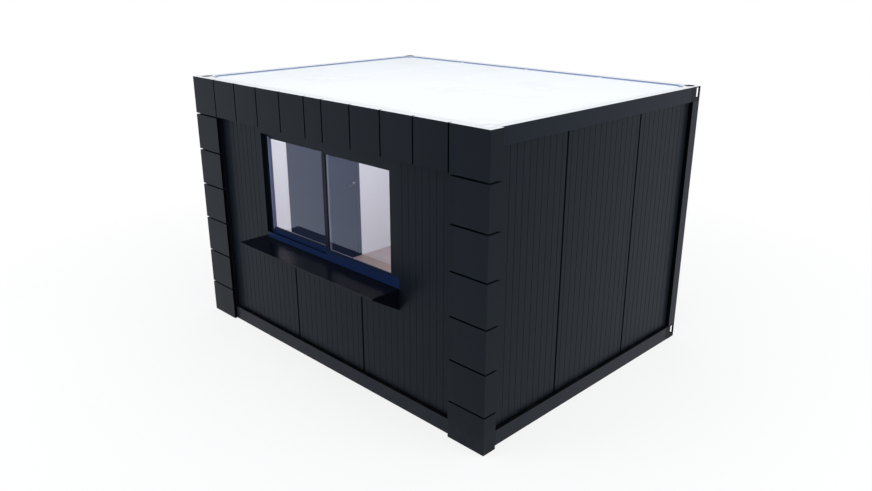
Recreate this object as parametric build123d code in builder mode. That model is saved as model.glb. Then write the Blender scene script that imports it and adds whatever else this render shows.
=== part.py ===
from build123d import *
import os

os.makedirs("parts", exist_ok=True)

# Sales container: a 4 x 3 m steel frame module with panel walls, a sliding
# sales window with a counter, a side door and a portal of metal cassettes.
# Millimetres. X runs along the front, Y goes to the back, Z is up, and the
# origin is on the ground under the middle of the whole footprint.

# Steel frame
length = 4000
depth = 3000
height = 2600
beam_height = 140
beam_width = 100
beam_lip = 20
beam_sheet = 4
roof_edge_width = 85
roof_edge_lip = 30
roof_recess = 12

# Corner castings and posts
casting_size = 150
casting_wall = 12
casting_cover = 16
slot_width = 54
slot_height = 96
slot_level = 82
slot_inset = 45
eye_length = 84
eye_width = 56
post_width = 115
post_sheet = 3

# Floor and roof build-up
joist_width = 50
joist_sheet = 3
joist_pitch = 600
pan_sheet = 2
covering_thickness = 3
covering_gap = 3
ceiling_thickness = 16
roof_sheet_thickness = 3

# Wall panels
wall_recess = 38
wall_thickness = 50
front_joint = 500
side_joint = 530
joint_width = 8
joint_depth = 14
groove_pitch = 79
groove_width = 7
groove_depth = 1.6
groove_margin = 40

# Sliding window
window_width = 2000
window_sill = 1106
window_headroom = 253
frame_face = 53
frame_depth = 88
track_depth = 12
track_front = 6
track_back = 4
sash_depth = 34
sash_front = 8.5
sash_step = 38.5
sash_stile = 67
sash_rail = 58
meeting_stile = 50
meeting_overlap = 8
glass_thickness = 6
glass_recess = 8

# Counter shelf
shelf_depth = 300
shelf_sheet = 3
shelf_lip = 12
shelf_flange = 60
gusset_height = 192

# Side door
door_frame_height = 2050
door_jamb = 45
door_stop = 13
door_threshold = 18
door_frame_proud = 2
door_gap = 5
leaf_thickness = 44
leaf_proud = 6
hinge_radius = 9
hinge_pin = 4
hinge_fit = 0.06
hinge_height = 100
hinge_offset = 8
hinge_side = 7
hinge_plate = 4
hinge_washer = 0.5
hinge_reach_frame = 40
hinge_reach_leaf = 65
hinge_low = 420
hinge_middle = 1150
hinge_high = 1880
handle_level = 1110
handle_backset = 40
rosette_radius = 24
rosette_thickness = 8
lever_radius = 9
lever_reach = 42
lever_length = 125
lever_bend = 14

# Cladding portal
cladding_depth = 30
cladding_return = 142
cladding_sheet = 2
cassette = 361
cassette_gap = 15
cassette_least = 60
fascia_height = 373
pilaster_width = 394
rail_width = 50
rail_sheet = 2
rail_lift = 13

# The frame sits behind the origin by half of what the counter reaches out
front_reach = shelf_depth - wall_recess
middle = front_reach / 2
front = middle - depth / 2
rear = middle + depth / 2
half = length / 2
roof_level = height - beam_height
wall_front = front + wall_recess
wall_rear = rear - wall_recess
wall_side = half - wall_recess
wall_height = roof_level - beam_height
window_height = roof_level - window_headroom - window_sill
front_run = length - 2 * casting_size
side_run = depth - 2 * casting_size
cross = Plane((0, middle, 0), x_dir=(1, 0, 0), z_dir=(0, 1, 0))

# Planes that stand across each run of the frame, with x pointing inwards
front_end = Plane((-front_run / 2, front, 0), x_dir=(0, 1, 0), z_dir=(1, 0, 0))
right_end = Plane((half, middle - side_run / 2, 0), x_dir=(-1, 0, 0), z_dir=(0, 1, 0))

# Planes on the ground along each wall's outer face, with y pointing inwards
front_line = Plane((0, wall_front, beam_height), x_dir=(1, 0, 0), z_dir=(0, 0, 1))
right_line = Plane((wall_side, middle, beam_height), x_dir=(0, 1, 0), z_dir=(0, 0, 1))
rear_line = Plane((0, wall_rear, beam_height), x_dir=(-1, 0, 0), z_dir=(0, 0, 1))
left_line = Plane((-wall_side, middle, beam_height), x_dir=(0, -1, 0), z_dir=(0, 0, 1))


# Lipped channel of the base frame, open to the inside
base_section = [
    (0, 0),
    (beam_width, 0),
    (beam_width, beam_lip),
    (beam_width - beam_sheet, beam_lip),
    (beam_width - beam_sheet, beam_sheet),
    (beam_sheet, beam_sheet),
    (beam_sheet, beam_height - beam_sheet),
    (beam_width - beam_sheet, beam_height - beam_sheet),
    (beam_width - beam_sheet, beam_height - beam_lip),
    (beam_width, beam_height - beam_lip),
    (beam_width, beam_height),
    (0, beam_height),
]

# Roof beam: the upper flange is shorter and turns down round the roof sheet
roof_section = [
    (0, roof_level),
    (beam_width, roof_level),
    (beam_width, roof_level + beam_lip),
    (beam_width - beam_sheet, roof_level + beam_lip),
    (beam_width - beam_sheet, roof_level + beam_sheet),
    (beam_sheet, roof_level + beam_sheet),
    (beam_sheet, height - beam_sheet),
    (roof_edge_width - beam_sheet, height - beam_sheet),
    (roof_edge_width - beam_sheet, height - roof_edge_lip),
    (roof_edge_width, height - roof_edge_lip),
    (roof_edge_width, height),
    (0, height),
]


# Plan section of a wall panel from one joint line to the next
def panel_section(start, end, start_joint, end_joint):
    width = end - start
    centre = (start + end) / 2
    grooves = int((width - 2 * groove_margin) / groove_pitch) + 1
    with Locations((centre, wall_thickness / 2)):
        Rectangle(width, wall_thickness)
    with Locations((centre, 0)):
        with GridLocations(groove_pitch, 0, grooves, 1):
            Rectangle(groove_width, 2 * groove_depth, mode=Mode.SUBTRACT)
    if start_joint:
        with Locations((start, 0)):
            Rectangle(joint_width, 2 * joint_depth, mode=Mode.SUBTRACT)
    if end_joint:
        with Locations((end, 0)):
            Rectangle(joint_width, 2 * joint_depth, mode=Mode.SUBTRACT)


# Steel frame members
with BuildPart() as base_beam_front:
    with BuildSketch(front_end):
        with BuildLine():
            Polyline(*base_section, close=True)
        make_face()
    extrude(amount=front_run)

with BuildPart() as base_beam_rear:
    mirror(base_beam_front.part, about=cross)

with BuildPart() as base_beam_right:
    with BuildSketch(right_end):
        with BuildLine():
            Polyline(*base_section, close=True)
        make_face()
    extrude(amount=side_run)

with BuildPart() as base_beam_left:
    mirror(base_beam_right.part, about=Plane.YZ)

with BuildPart() as roof_beam_front:
    with BuildSketch(front_end):
        with BuildLine():
            Polyline(*roof_section, close=True)
        make_face()
    extrude(amount=front_run)

with BuildPart() as roof_beam_rear:
    mirror(roof_beam_front.part, about=cross)

with BuildPart() as roof_beam_right:
    with BuildSketch(right_end):
        with BuildLine():
            Polyline(*roof_section, close=True)
        make_face()
    extrude(amount=side_run)

with BuildPart() as roof_beam_left:
    mirror(roof_beam_right.part, about=Plane.YZ)

# Hollow corner posts with two faces that stand proud of the walls
with BuildPart() as front_corner_posts:
    with BuildSketch(Plane.XY.offset(beam_height)):
        with BuildLine():
            Polyline(
                (half, front),
                (half, front + post_width),
                (wall_side, front + post_width),
                (wall_side, wall_front),
                (half - post_width, wall_front),
                (half - post_width, front),
                close=True,
            )
        make_face()
        offset(amount=-post_sheet, mode=Mode.SUBTRACT)
    extrude(amount=wall_height)
    mirror(about=Plane.YZ)

with BuildPart() as rear_corner_posts:
    mirror(front_corner_posts.part, about=cross)

# Corner castings: open boxes with a tall slot in each outer face and an eye
casting_x = half - casting_size / 2
casting_y = depth / 2 - casting_size / 2
cavity = casting_size - 2 * casting_wall
cavity_height = beam_height - 2 * casting_cover


with BuildPart() as corner_castings_bottom:
    with Locations((0, middle, beam_height / 2)):
        with GridLocations(2 * casting_x, 2 * casting_y, 2, 2):
            Box(casting_size, casting_size, beam_height)
            Box(cavity, cavity, cavity_height, mode=Mode.SUBTRACT)
    with Locations((0, middle, slot_level)):
        with GridLocations(length, depth - 2 * slot_inset, 2, 2):
            Box(2 * casting_wall, slot_width, slot_height, mode=Mode.SUBTRACT)
        with GridLocations(length - 2 * slot_inset, depth, 2, 2):
            Box(slot_width, 2 * casting_wall, slot_height, mode=Mode.SUBTRACT)
    with BuildSketch(Plane((0, middle, 0))):
        with GridLocations(2 * casting_x, 2 * casting_y, 2, 2):
            SlotOverall(eye_length, eye_width, rotation=90)
    extrude(amount=1.5 * casting_cover, both=True, mode=Mode.SUBTRACT)

with BuildPart() as corner_castings_top:
    with Locations((0, middle, roof_level + beam_height / 2)):
        with GridLocations(2 * casting_x, 2 * casting_y, 2, 2):
            Box(casting_size, casting_size, beam_height)
            Box(cavity, cavity, cavity_height, mode=Mode.SUBTRACT)
    with Locations((0, middle, roof_level + slot_level)):
        with GridLocations(length, depth - 2 * slot_inset, 2, 2):
            Box(2 * casting_wall, slot_width, slot_height, mode=Mode.SUBTRACT)
        with GridLocations(length - 2 * slot_inset, depth, 2, 2):
            Box(slot_width, 2 * casting_wall, slot_height, mode=Mode.SUBTRACT)
    with BuildSketch(Plane((0, middle, height))):
        with GridLocations(2 * casting_x, 2 * casting_y, 2, 2):
            SlotOverall(eye_length, eye_width, rotation=90)
    extrude(amount=1.5 * casting_cover, both=True, mode=Mode.SUBTRACT)

# Floor and roof
joist_count = 2 * int((half - beam_width - joist_width) / joist_pitch) + 1

with BuildPart() as floor_joists:
    with BuildSketch(cross.offset(beam_sheet - depth / 2)):
        with Locations((0, -beam_height / 2)):
            with GridLocations(joist_pitch, 0, joist_count, 1):
                Rectangle(joist_width, beam_height - 2 * beam_lip)
                with Locations((joist_sheet, 0)):
                    Rectangle(
                        joist_width,
                        beam_height - 2 * beam_lip - 2 * joist_sheet,
                        mode=Mode.SUBTRACT,
                    )
    extrude(amount=depth - 2 * beam_sheet)

with BuildPart() as floor_pan:
    with Locations((0, middle, beam_lip - pan_sheet / 2)):
        Box(length - 2 * beam_width, depth - 2 * beam_width, pan_sheet)
        with GridLocations(2 * casting_x, 2 * casting_y, 2, 2):
            Box(casting_size, casting_size, 2 * pan_sheet, mode=Mode.SUBTRACT)

with BuildPart() as floor_deck:
    with Locations((0, middle, beam_height - beam_lip / 2)):
        Box(length - 2 * beam_width, depth - 2 * beam_width, beam_lip)
        with GridLocations(2 * casting_x, 2 * casting_y, 2, 2):
            Box(casting_size, casting_size, 2 * beam_lip, mode=Mode.SUBTRACT)

inner_side = wall_side - wall_thickness
inner_front = wall_front + wall_thickness
inner_rear = wall_rear - wall_thickness
with BuildPart() as floor_covering:
    with Locations((0, middle, beam_height + covering_thickness / 2)):
        Box(
            2 * (inner_side - covering_gap),
            inner_rear - inner_front - 2 * covering_gap,
            covering_thickness,
        )

with BuildPart() as ceiling_board:
    with Locations((0, middle, roof_level + ceiling_thickness / 2)):
        Box(length - 2 * beam_width, depth - 2 * beam_width, ceiling_thickness)
        with GridLocations(2 * casting_x, 2 * casting_y, 2, 2):
            Box(casting_size, casting_size, 2 * ceiling_thickness, mode=Mode.SUBTRACT)

roof_top = height - roof_recess
roof_underside = roof_top - roof_sheet_thickness
roof_joist_height = roof_underside - roof_level - beam_lip
with BuildPart() as roof_joists:
    with BuildSketch(cross.offset(roof_edge_width - depth / 2)):
        with Locations((0, -(roof_underside - roof_joist_height / 2))):
            with GridLocations(joist_pitch, 0, joist_count, 1):
                Rectangle(joist_width, roof_joist_height)
                with Locations((joist_sheet, 0)):
                    Rectangle(
                        joist_width,
                        roof_joist_height - 2 * joist_sheet,
                        mode=Mode.SUBTRACT,
                    )
    extrude(amount=depth - 2 * roof_edge_width)

with BuildPart() as roof_sheet:
    with Locations((0, middle, roof_top - roof_sheet_thickness / 2)):
        Box(length - 2 * roof_edge_width, depth - 2 * roof_edge_width, roof_sheet_thickness)
        with GridLocations(2 * casting_x, 2 * casting_y, 2, 2):
            Box(casting_size, casting_size, 2 * roof_sheet_thickness, mode=Mode.SUBTRACT)

# Walls
front_half = half - wall_recess - wall_thickness
side_half = depth / 2 - wall_recess
window_level = window_sill + window_height / 2

with BuildPart() as front_wall_left:
    with BuildSketch(front_line):
        panel_section(-front_half, -front_joint, False, True)
    extrude(amount=wall_height)
    with Locations((0, wall_front, window_level)):
        Box(window_width, 4 * wall_thickness, window_height, mode=Mode.SUBTRACT)

with BuildPart() as front_wall_centre:
    with BuildSketch(front_line):
        panel_section(-front_joint, front_joint, True, True)
    extrude(amount=wall_height)
    with Locations((0, wall_front, window_level)):
        Box(window_width, 4 * wall_thickness, window_height, mode=Mode.SUBTRACT)

with BuildPart() as front_wall_right:
    mirror(front_wall_left.part, about=Plane.YZ)

with BuildPart() as right_wall_front:
    with BuildSketch(right_line):
        panel_section(-side_half, -side_joint, False, True)
    extrude(amount=wall_height)

with BuildPart() as right_wall_middle:
    with BuildSketch(right_line):
        panel_section(-side_joint, side_joint, True, True)
    extrude(amount=wall_height)

with BuildPart() as right_wall_rear:
    mirror(right_wall_front.part, about=cross)

with BuildPart() as left_wall_front:
    mirror(right_wall_front.part, about=Plane.YZ)

with BuildPart() as left_wall_rear:
    mirror(right_wall_rear.part, about=Plane.YZ)

with BuildPart() as left_wall_over_door:
    with BuildSketch(left_line.offset(door_frame_height)):
        panel_section(-side_joint, side_joint, True, True)
    extrude(amount=wall_height - door_frame_height)

with BuildPart() as rear_wall_left:
    with BuildSketch(rear_line):
        panel_section(front_joint, front_half, True, False)
    extrude(amount=wall_height)

with BuildPart() as rear_wall_middle:
    with BuildSketch(rear_line):
        panel_section(-front_joint, front_joint, True, True)
    extrude(amount=wall_height)

with BuildPart() as rear_wall_right:
    mirror(rear_wall_left.part, about=Plane.YZ)

# Sliding window in two tracks
window_face = Plane((0, wall_front, window_level), x_dir=(1, 0, 0), z_dir=(0, -1, 0))
clear_width = window_width - 2 * frame_face
clear_height = window_height - 2 * frame_face
track_width = clear_width + 2 * track_depth
track_height = clear_height + 2 * track_depth

with BuildPart() as window_frame:
    with BuildSketch(window_face):
        Rectangle(window_width, window_height)
        Rectangle(clear_width, clear_height, mode=Mode.SUBTRACT)
    extrude(amount=-frame_depth)
    with BuildSketch(window_face.offset(-track_front)):
        Rectangle(track_width, track_height)
    extrude(amount=track_front + track_back - frame_depth, mode=Mode.SUBTRACT)

sash_width = track_width / 2 + meeting_overlap
sash_centre = track_width / 4 - meeting_overlap / 2
glass_width = sash_width - sash_stile - meeting_stile
glass_height = track_height - 2 * sash_rail
glass_centre = track_width / 2 - sash_stile - glass_width / 2
outer_sash = window_face.offset(-sash_front)
inner_sash = window_face.offset(-sash_front - sash_step)

with BuildPart() as window_sash_right:
    with BuildSketch(outer_sash):
        with Locations((sash_centre, 0)):
            Rectangle(sash_width, track_height)
        with Locations((glass_centre, 0)):
            Rectangle(glass_width, glass_height, mode=Mode.SUBTRACT)
    extrude(amount=-sash_depth)

with BuildPart() as window_sash_left:
    with BuildSketch(inner_sash):
        with Locations((-sash_centre, 0)):
            Rectangle(sash_width, track_height)
        with Locations((-glass_centre, 0)):
            Rectangle(glass_width, glass_height, mode=Mode.SUBTRACT)
    extrude(amount=-sash_depth)

with BuildPart() as window_glass:
    with BuildSketch(outer_sash.offset(-glass_recess)):
        with Locations((glass_centre, 0)):
            Rectangle(glass_width, glass_height)
    extrude(amount=-glass_thickness)
    with BuildSketch(inner_sash.offset(-glass_recess)):
        with Locations((-glass_centre, 0)):
            Rectangle(glass_width, glass_height)
    extrude(amount=-glass_thickness)

# Counter: one folded sheet with triangular ends
counter_end = Plane((-window_width / 2, wall_front, window_sill), x_dir=(0, -1, 0), z_dir=(1, 0, 0))
with BuildPart() as counter_shelf:
    with BuildSketch(counter_end):
        with BuildLine():
            Polyline(
                (0, 0),
                (shelf_depth, 0),
                (shelf_depth, shelf_lip),
                (shelf_depth - shelf_sheet, shelf_lip),
                (shelf_depth - shelf_sheet, shelf_sheet),
                (shelf_sheet, shelf_sheet),
                (shelf_sheet, shelf_flange),
                (0, shelf_flange),
                close=True,
            )
        make_face()
    extrude(amount=window_width)
    with BuildSketch(
        counter_end,
        counter_end.offset((window_width - shelf_sheet) / 2),
        counter_end.offset(window_width - shelf_sheet),
    ):
        with BuildLine():
            Polyline(
                (0, 0),
                (shelf_depth, 0),
                (shelf_depth, shelf_lip),
                (shelf_sheet, gusset_height),
                (0, gusset_height),
                close=True,
            )
        make_face()
    extrude(amount=shelf_sheet)

# Side door in the left wall
door_face = Plane((-wall_side, middle, beam_height), x_dir=(0, -1, 0), z_dir=(-1, 0, 0))
door_width = 2 * side_joint
opening_width = door_width - 2 * door_jamb
opening_height = door_frame_height - door_threshold - door_jamb
leaf_width = opening_width - 2 * door_gap
leaf_height = opening_height - 2 * door_gap
leaf_foot = beam_height + door_threshold + door_gap
leaf_outer = -wall_side - leaf_proud
leaf_inner = leaf_outer + leaf_thickness
stop_outer = leaf_inner + door_gap
frame_outer = -wall_side - door_frame_proud
frame_inner = -inner_side + door_frame_proud

with BuildPart() as door_frame:
    with Locations(((frame_outer + frame_inner) / 2, middle, beam_height + door_frame_height / 2)):
        Box(frame_inner - frame_outer, door_width, door_frame_height)
    with Locations((0, middle, beam_height + door_threshold)):
        with Locations((-wall_side, 0, 0)):
            Box(
                2 * (stop_outer + wall_side),
                opening_width,
                opening_height,
                align=(Align.CENTER, Align.CENTER, Align.MIN),
                mode=Mode.SUBTRACT,
            )
            Box(
                4 * wall_thickness,
                opening_width - 2 * door_stop,
                opening_height - door_stop,
                align=(Align.CENTER, Align.CENTER, Align.MIN),
                mode=Mode.SUBTRACT,
            )

with BuildPart() as door_leaf:
    with Locations(((leaf_outer + leaf_inner) / 2, middle, leaf_foot + leaf_height / 2)):
        Box(leaf_thickness, leaf_width, leaf_height)

hinge_x = leaf_outer - hinge_offset
hinge_y = middle - leaf_width / 2 - hinge_side
hinge_levels = (hinge_low, hinge_middle, hinge_high)
handle_y = middle + leaf_width / 2 - handle_backset

with BuildPart() as door_frame_hinges:
    for level in hinge_levels:
        with BuildSketch(Plane((hinge_x, hinge_y, level))):
            Circle(hinge_radius)
            with Locations((0, 0)):
                Rectangle(frame_outer - hinge_x, hinge_reach_frame, align=(Align.MIN, Align.MAX))
        extrude(amount=hinge_height / 2)
        with BuildSketch(Plane((hinge_x, hinge_y, level))):
            Circle(hinge_pin)
        extrude(amount=hinge_height)

with BuildPart() as door_leaf_hinges:
    for level in hinge_levels:
        with BuildSketch(Plane((hinge_x, hinge_y, level + hinge_height / 2 + hinge_washer))):
            Circle(hinge_radius)
            with Locations((hinge_offset - hinge_plate, 0)):
                Rectangle(hinge_plate, hinge_reach_leaf, align=(Align.MIN, Align.MIN))
            Circle(hinge_pin + hinge_fit, mode=Mode.SUBTRACT)
        extrude(amount=hinge_height / 2 - hinge_washer)

# Lever handles on both faces
with BuildPart() as door_handle:
    with BuildSketch(Plane((leaf_outer, handle_y, handle_level), z_dir=(-1, 0, 0))):
        Circle(rosette_radius)
    extrude(amount=rosette_thickness)
    with BuildSketch(Plane((leaf_inner, handle_y, handle_level), z_dir=(1, 0, 0))):
        Circle(rosette_radius)
    extrude(amount=rosette_thickness)
    for face, way in ((leaf_outer, -1), (leaf_inner, 1)):
        with BuildLine() as lever_path:
            FilletPolyline(
                (face, handle_y, handle_level),
                (face + way * lever_reach, handle_y, handle_level),
                (face + way * lever_reach, handle_y - lever_length, handle_level),
                radius=lever_bend,
            )
        with BuildSketch(Plane((face, handle_y, handle_level), z_dir=(way, 0, 0))):
            Circle(lever_radius)
        sweep(path=lever_path.wires()[0])

# Cladding portal
cladding_face = front - cladding_depth
cladding_side = half + cladding_depth
pilaster_edge = cladding_side - pilaster_width
fascia_foot = height - fascia_height
row_pitch = cassette + cassette_gap

with BuildPart() as cladding_rails:
    with BuildSketch(Plane.XY.offset(beam_height)):
        for side in (-1, 1):
            with Locations((side * (pilaster_edge + rail_width / 2), (front + wall_front) / 2)):
                Rectangle(rail_width, wall_recess)
                with Locations((0, rail_sheet)):
                    Rectangle(rail_width - 2 * rail_sheet, wall_recess, mode=Mode.SUBTRACT)
    extrude(amount=wall_height)
    with Locations((0, (front + wall_front) / 2, fascia_foot + rail_lift + rail_width / 2)):
        Box(2 * pilaster_edge - 2 * cassette_gap, wall_recess, rail_width)
        with Locations((0, rail_sheet, 0)):
            Box(2 * pilaster_edge, wall_recess, rail_width - 2 * rail_sheet, mode=Mode.SUBTRACT)

fascia_plane = Plane((0, cladding_face, fascia_foot + fascia_height / 2), x_dir=(1, 0, 0), z_dir=(0, -1, 0))
columns = int((pilaster_edge - cassette_gap - cassette_least / 2) / row_pitch)
cassette_middle = 2 * (pilaster_edge - cassette_gap - columns * row_pitch)
first_column = (cassette_middle + cassette) / 2 + cassette_gap
column_steps = [first_column + step * row_pitch for step in range(columns)]
column_centres = [(side * step, 0) for side in (-1, 1) for step in column_steps]
tray = 2 * cladding_sheet

with BuildPart() as cladding_fascia:
    with BuildSketch(fascia_plane):
        Rectangle(cassette_middle, fascia_height)
        with Locations(*column_centres):
            Rectangle(cassette, fascia_height)
    extrude(amount=-cladding_depth)
    with BuildSketch(fascia_plane.offset(-cladding_sheet)):
        Rectangle(cassette_middle - tray, fascia_height - tray)
        with Locations(*column_centres):
            Rectangle(cassette - tray, fascia_height - tray)
    extrude(amount=-cladding_depth, mode=Mode.SUBTRACT)

# Corner cassettes wrap round the front corner, one above the other
rows = int((fascia_foot - cassette_gap - cassette_least) / row_pitch)
row_feet = [0] + [fascia_foot - step * row_pitch for step in range(rows, 0, -1)] + [fascia_foot]
row_tops = [foot - cassette_gap for foot in row_feet[1:]] + [height]

with BuildPart() as cladding_right:
    for foot, top in zip(row_feet, row_tops):
        with BuildSketch(Plane.XY.offset(foot)):
            with BuildLine():
                Polyline(
                    (pilaster_edge, cladding_face),
                    (cladding_side, cladding_face),
                    (cladding_side, cladding_face + cladding_return),
                    (half, cladding_face + cladding_return),
                    (half, front),
                    (pilaster_edge, front),
                    close=True,
                )
            make_face()
        extrude(amount=top - foot)
        with BuildSketch(Plane.XY.offset(foot + cladding_sheet)):
            with BuildLine():
                Polyline(
                    (pilaster_edge + cladding_sheet, cladding_face + cladding_sheet),
                    (cladding_side - cladding_sheet, cladding_face + cladding_sheet),
                    (cladding_side - cladding_sheet, cladding_face + cladding_return - cladding_sheet),
                    (half, cladding_face + cladding_return - cladding_sheet),
                    (half, front),
                    (pilaster_edge + cladding_sheet, front),
                    close=True,
                )
            make_face()
        extrude(amount=top - foot - tray, mode=Mode.SUBTRACT)

with BuildPart() as cladding_left:
    mirror(cladding_right.part, about=Plane.YZ)

pieces = {
    "base_beam_front": base_beam_front,
    "base_beam_rear": base_beam_rear,
    "base_beam_left": base_beam_left,
    "base_beam_right": base_beam_right,
    "roof_beam_front": roof_beam_front,
    "roof_beam_rear": roof_beam_rear,
    "roof_beam_left": roof_beam_left,
    "roof_beam_right": roof_beam_right,
    "front_corner_posts": front_corner_posts,
    "rear_corner_posts": rear_corner_posts,
    "corner_castings_bottom": corner_castings_bottom,
    "corner_castings_top": corner_castings_top,
    "floor_joists": floor_joists,
    "floor_pan": floor_pan,
    "floor_deck": floor_deck,
    "floor_covering": floor_covering,
    "ceiling_board": ceiling_board,
    "roof_joists": roof_joists,
    "roof_sheet": roof_sheet,
    "front_wall_left": front_wall_left,
    "front_wall_centre": front_wall_centre,
    "front_wall_right": front_wall_right,
    "right_wall_front": right_wall_front,
    "right_wall_middle": right_wall_middle,
    "right_wall_rear": right_wall_rear,
    "rear_wall_left": rear_wall_left,
    "rear_wall_middle": rear_wall_middle,
    "rear_wall_right": rear_wall_right,
    "left_wall_front": left_wall_front,
    "left_wall_rear": left_wall_rear,
    "left_wall_over_door": left_wall_over_door,
    "window_frame": window_frame,
    "window_sash_left": window_sash_left,
    "window_sash_right": window_sash_right,
    "window_glass": window_glass,
    "counter_shelf": counter_shelf,
    "door_frame": door_frame,
    "door_frame_hinges": door_frame_hinges,
    "door_leaf": door_leaf,
    "door_leaf_hinges": door_leaf_hinges,
    "door_handle": door_handle,
    "cladding_rails": cladding_rails,
    "cladding_fascia": cladding_fascia,
    "cladding_left": cladding_left,
    "cladding_right": cladding_right,
}

for name, piece in pieces.items():
    piece.part.label = name
    export_step(piece.part, f"parts/{name}.step")
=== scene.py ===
import math

import bmesh
import bpy
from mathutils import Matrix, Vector


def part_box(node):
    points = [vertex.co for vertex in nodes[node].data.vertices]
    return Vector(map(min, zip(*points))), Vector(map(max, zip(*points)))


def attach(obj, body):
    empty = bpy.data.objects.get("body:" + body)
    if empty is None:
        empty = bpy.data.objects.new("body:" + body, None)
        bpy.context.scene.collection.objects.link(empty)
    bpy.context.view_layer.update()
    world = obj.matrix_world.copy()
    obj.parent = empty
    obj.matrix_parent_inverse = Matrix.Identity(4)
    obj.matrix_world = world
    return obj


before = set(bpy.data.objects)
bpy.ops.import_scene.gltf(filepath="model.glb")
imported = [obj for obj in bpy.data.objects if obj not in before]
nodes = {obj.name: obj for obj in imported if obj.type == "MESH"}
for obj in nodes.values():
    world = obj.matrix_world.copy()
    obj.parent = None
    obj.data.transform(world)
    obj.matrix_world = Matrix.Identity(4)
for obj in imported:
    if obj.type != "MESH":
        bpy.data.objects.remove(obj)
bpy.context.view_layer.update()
print("frame loaded:", len(nodes), "nodes")

# Places that several pieces share, read from the frame
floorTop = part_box("floor_covering")[1].z
panelLow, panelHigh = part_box("front_wall_centre")
wallFoot, wallHead = panelLow.z, panelHigh.z
frontFace = panelLow.y
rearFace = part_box("rear_wall_middle")[1].y
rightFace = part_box("right_wall_middle")[1].x
leftFace = -rightFace
wallThick = panelHigh.y - frontFace
roomLow = Vector((leftFace + wallThick, frontFace + wallThick, floorTop))
roomHigh = Vector((rightFace - wallThick, rearFace - wallThick, wallHead))
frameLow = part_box("corner_castings_bottom")[0]
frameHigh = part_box("corner_castings_top")[1]
middle = (frameLow.y + frameHigh.y) / 2
halfDepth = (frameHigh.y - frameLow.y) / 2
frontJoint = panelHigh.x
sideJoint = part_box("right_wall_middle")[1].y - middle
windowLow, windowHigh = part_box("window_frame")
shelfLow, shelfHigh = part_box("counter_shelf")
leafLow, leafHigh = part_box("door_leaf")
doorLow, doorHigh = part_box("door_frame")
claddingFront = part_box("cladding_fascia")[0].y
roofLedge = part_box("roof_beam_right")[0].z + 0.02


# Camera, floor and light
viewSettings = {
    "place": (5.465, -5.361, 3.619),
    "tiltDegrees": 70.52,
    "turnDegrees": 45.0,
    "lens": 32.06,
}

stageSettings = {
    "reach": 300.0,
    "level": -0.001,
    "floorColour": (0.86, 0.86, 0.87, 1),
    "shadowKept": 0.2,
    "shadowFull": 2.5,
    "shadowReach": 7.0,
    "worldColour": (0.90, 0.95, 1.0, 1),
    "worldStrength": 0.63,
    "lamps": {
        "top": {"place": (0.6, -0.6, 7.5), "aim": (0, 0.1, 0), "size": (7, 6), "watts": 150},
        "front": {"place": (-3.5, -8.0, 4.2), "aim": (-0.5, 0, 1.2), "size": (5, 4), "watts": 300},
        "side": {"place": (8.5, 2.5, 4.2), "aim": (0, 0.5, 1.2), "size": (5, 4), "watts": 300},
        "room": {"place": (0, 0.13, 2.38), "aim": (0, 0.13, 0), "size": (3.2, 2.2), "watts": 51},
    },
}


# Shader maths: a socket that can be added, multiplied and so on
class Wire:
    def __init__(self, finish, socket):
        self.finish = finish
        self.socket = socket

    def math(self, operation, *values):
        return self.finish.node("ShaderNodeMath", {"operation": operation}, dict(enumerate(values)))

    def __add__(self, other):
        return self.math("ADD", self, other)

    __radd__ = __add__

    def __sub__(self, other):
        return self.math("SUBTRACT", self, other)

    def __rsub__(self, other):
        return self.math("SUBTRACT", other, self)

    def __mul__(self, other):
        return self.math("MULTIPLY", self, other)

    __rmul__ = __mul__

    def __truediv__(self, other):
        return self.math("DIVIDE", self, other)

    def __rtruediv__(self, other):
        return self.math("DIVIDE", other, self)

    def size(self):
        return self.math("ABSOLUTE", self)

    def most(self, other):
        return self.math("MAXIMUM", self, other)

    def least(self, other):
        return self.math("MINIMUM", self, other)

    def other(self, name):  # another output of the same node
        return Wire(self.finish, self.socket.node.outputs[name])


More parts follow.
